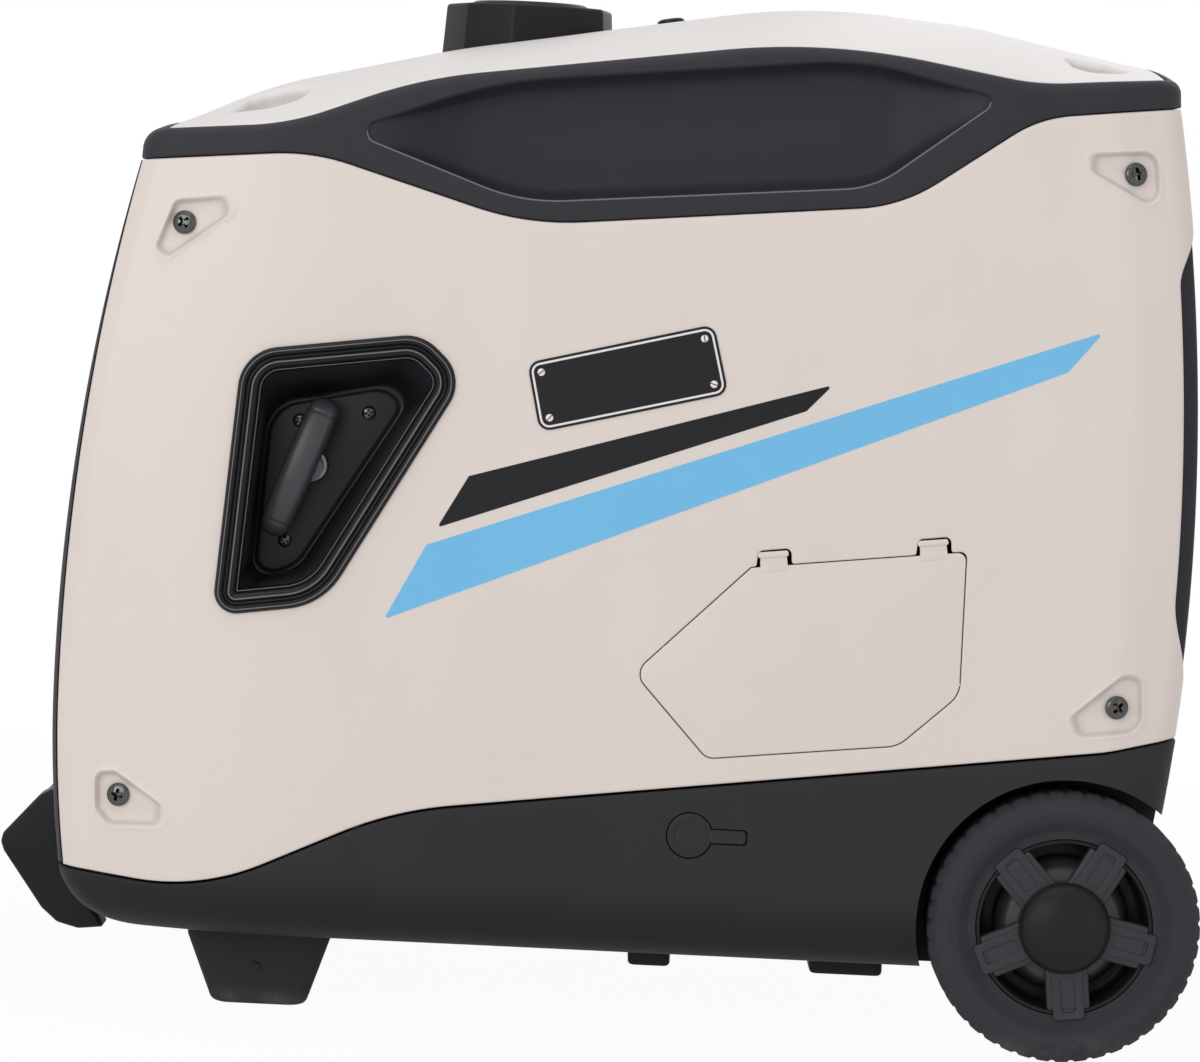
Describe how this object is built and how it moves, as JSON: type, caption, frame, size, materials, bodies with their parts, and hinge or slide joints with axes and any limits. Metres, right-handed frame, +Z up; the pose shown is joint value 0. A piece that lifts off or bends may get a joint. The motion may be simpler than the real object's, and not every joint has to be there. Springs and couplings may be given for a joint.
{
  "type": "inverter generator",
  "caption": "Suitcase-shaped portable inverter generator in cream and charcoal plastic, with recoil starter, wheels at one end, a stowed pull handle and a control panel.",
  "frame": {"origin": "centre of the bounding box at the floor the feet and tyres stand on", "axes": "+X towards the wheels, -X towards the control panel, -Y out of the starter side that the picture shows, +Z up"},
  "size_m": [0.6285, 0.44, 0.5404],
  "materials": {
    "cream_plastic": "satin moulded",
    "charcoal_plastic": "fine grained",
    "dark_plastic": "fine grained",
    "black_plastic": "moulded",
    "grey_plastic": "moulded",
    "black_rubber": "moulded",
    "tyre_rubber": "moulded",
    "steel": "plated",
    "alloy": "cast",
    "copper": "enamelled winding",
    "screen": "gloss",
    "red_plastic": "gloss",
    "rope_fibre": "braided"
  },
  "bodies": {
    "housing": {"air_cleaner": "black_plastic", "axle": "steel", "base_tray": "dark_plastic", "battery": "black_plastic", "carburettor": "alloy", "control_fascia": "black_plastic", "crankcase": "alloy", "cylinder": "alloy", "cylinder_head": "alloy", "display_window": "screen", "duplex_outlet": "grey_plastic", "far_side_panel": "cream_plastic", "foot_far": "black_rubber", "foot_near": "black_rubber", "front_panel": "charcoal_plastic", "fuel_gauge": "black_plastic", "fuel_tank": "black_plastic", "inverter_module": "alloy", "muffler": "steel", "panel_screw_far_front_low": "steel", "panel_screw_far_front_top": "steel", "panel_screw_far_rear_low": "steel", "panel_screw_far_rear_top": "steel", "panel_screw_near_front_low": "steel", "panel_screw_near_front_top": "steel", "panel_screw_near_rear_low": "steel", "panel_screw_near_rear_top": "steel", "rear_panel": "charcoal_plastic", "recoil_bezel": "black_plastic", "recoil_housing": "black_plastic", "starter_side_panel": "cream_plastic", "stator": "copper", "top_cover": "cream_plastic", "top_frame": "charcoal_plastic", "tube_guide_far": "black_plastic", "tube_guide_near": "black_plastic", "twist_outlet": "grey_plastic"},
    "near_wheel": {"tyre_near": "tyre_rubber", "wheel_hub_near": "dark_plastic", "hub_cap_near": "dark_plastic"},
    "far_wheel": {"tyre_far": "tyre_rubber", "wheel_hub_far": "dark_plastic", "hub_cap_far": "dark_plastic"},
    "pull_handle": {"pull_grip": "black_plastic", "pull_tube_near": "steel", "pull_tube_far": "steel"},
    "service_door": {"service_door": "cream_plastic"},
    "recoil_handle": {"recoil_grip": "grey_plastic", "starter_rope": "rope_fibre"},
    "recoil_pulley": {"recoil_pulley": "grey_plastic"},
    "fuel_cap": {"fuel_cap": "black_plastic"},
    "cap_vent_knob": {"cap_vent_knob": "grey_plastic"},
    "engine_switch": {"engine_switch": "black_plastic"},
    "eco_switch": {"eco_switch": "black_plastic"},
    "breaker_button_1": {"breaker_button_1": "red_plastic"},
    "breaker_button_2": {"breaker_button_2": "red_plastic"},
    "crank": {"crankshaft": "steel", "flywheel_rotor": "steel"},
    "base_plug": {"base_plug": "black_rubber"}
  },
  "joints": [
    {"name": "near_wheel_spin", "type": "hinge", "parent": "housing", "child": "near_wheel", "pos_m": [0.243, -0.208, 0.07], "axis": [0, 1, 0], "continuous": true},
    {"name": "far_wheel_spin", "type": "hinge", "parent": "housing", "child": "far_wheel", "pos_m": [0.243, 0.208, 0.07], "axis": [0, 1, 0], "continuous": true},
    {"name": "pull_handle_slide", "type": "slide", "parent": "housing", "child": "pull_handle", "axis": [-1, 0, 0], "range_m": [0, 0.26]},
    {"name": "service_door_hinge", "type": "hinge", "parent": "housing", "child": "service_door", "pos_m": [0.056, -0.208, 0.1485], "axis": [0.9936, 0, 0.1127], "range_deg": [0, 85]},
    {"name": "recoil_pull", "type": "slide", "parent": "housing", "child": "recoil_handle", "axis": [0, -1, 0], "range_m": [0, 0.45], "stiffness_N_per_m": 40, "springref_m": -0.2, "deforming": ["starter_rope"]},
    {"name": "recoil_pulley_spin", "type": "hinge", "parent": "housing", "child": "recoil_pulley", "pos_m": [-0.155, 0, 0.231], "axis": [1, 0, 0], "range_deg": [0, 480]},
    {"name": "fuel_cap_turn", "type": "hinge", "parent": "housing", "child": "fuel_cap", "pos_m": [-0.056, 0, 0.5335], "axis": [0, 0, 1], "range_deg": [0, 120]},
    {"name": "cap_vent_turn", "type": "hinge", "parent": "fuel_cap", "child": "cap_vent_knob", "pos_m": [-0.056, 0, 0.5335], "axis": [0, 0, 1], "range_deg": [0, 90]},
    {"name": "engine_switch_turn", "type": "hinge", "parent": "housing", "child": "engine_switch", "pos_m": [-0.26395, -0.092, 0.29362], "axis": [-0.9877, 0, 0.1562], "range_deg": [0, 90]},
    {"name": "eco_switch_rock", "type": "hinge", "parent": "housing", "child": "eco_switch", "pos_m": [-0.24834, -0.028, 0.39239], "axis": [0, 1, 0], "range_deg": [-8, 8]},
    {"name": "breaker_1_press", "type": "slide", "parent": "housing", "child": "breaker_button_1", "axis": [0.9877, 0, -0.1562], "range_m": [0, 0.0025], "stiffness_N_per_m": 500, "springref_m": -0.001},
    {"name": "breaker_2_press", "type": "slide", "parent": "housing", "child": "breaker_button_2", "axis": [0.9877, 0, -0.1562], "range_m": [0, 0.0025], "stiffness_N_per_m": 500, "springref_m": -0.001},
    {"name": "crank_spin", "type": "hinge", "parent": "housing", "child": "crank", "pos_m": [0, 0, 0.231], "axis": [1, 0, 0], "continuous": true},
    {"name": "base_plug_pull", "type": "slide", "parent": "housing", "child": "base_plug", "axis": [0, -1, 0], "range_m": [0, 0.03]}
  ],
  "couplings": [
    {"joint": "recoil_pulley_spin", "follows": "recoil_pull", "rad_per_m": 18.182}
  ]
}
